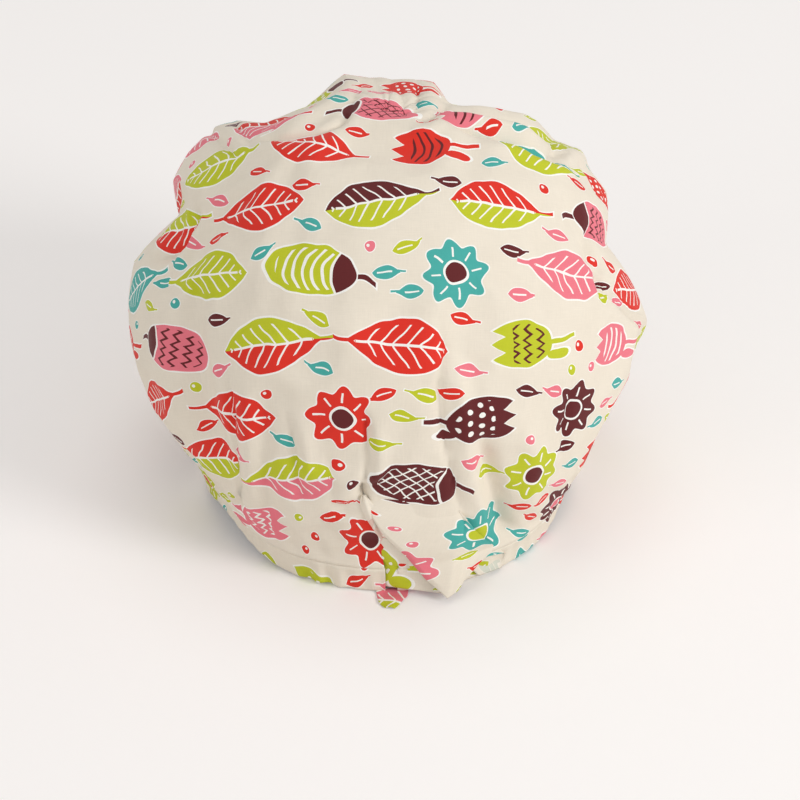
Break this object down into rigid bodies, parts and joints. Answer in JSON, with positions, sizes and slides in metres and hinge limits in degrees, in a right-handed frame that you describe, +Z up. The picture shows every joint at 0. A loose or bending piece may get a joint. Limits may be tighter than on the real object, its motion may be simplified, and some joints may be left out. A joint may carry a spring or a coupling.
{
  "type": "bouffant cap",
  "caption": "Gathered cotton bouffant cap with a stiffened forehead band, an elastic nape hem and self-fabric ties in a half knot.",
  "frame": {"origin": "under the middle of the cap's footprint, on the plane that its rim stands on", "axes": "+Z up from the rim plane, +Y towards the nape and its knot, +X towards the wearer's left"},
  "size_m": [0.244, 0.256, 0.1896],
  "materials": {
    "printed_cotton": null,
    "plain_cotton": "plain-weave white cotton lining",
    "interfacing": "non-woven stiffener, matte",
    "terry": "looped cotton terry",
    "elastic": "braided flat elastic"
  },
  "bodies": {
    "cap": {"crown_bag": "printed_cotton", "front_band_outer": "printed_cotton", "front_band_interfacing": "interfacing", "front_band_lining": "plain_cotton", "sweatband": "terry", "left_hem": "printed_cotton", "right_hem": "printed_cotton", "left_elastic": "elastic", "right_elastic": "elastic", "left_tie": "printed_cotton", "right_tie": "printed_cotton", "tie_knot": "printed_cotton", "right_tie_fold": "printed_cotton"},
    "wide_tie_end": {"left_tie_tail": "printed_cotton"},
    "short_tie_end": {"right_tie_tail": "printed_cotton"}
  },
  "joints": [
    {"name": "wide_end_lift", "type": "hinge", "parent": "cap", "child": "wide_tie_end", "pos_m": [0.00692, 0.12642, 0.057], "axis": [0.9749, 0.1544, 0.1607], "range_deg": [0, 110]},
    {"name": "short_end_lift", "type": "hinge", "parent": "cap", "child": "short_tie_end", "pos_m": [-0.00145, 0.11856, 0.0013], "axis": [0.9877, 0.1564, 0], "range_deg": [0, 90]}
  ]
}
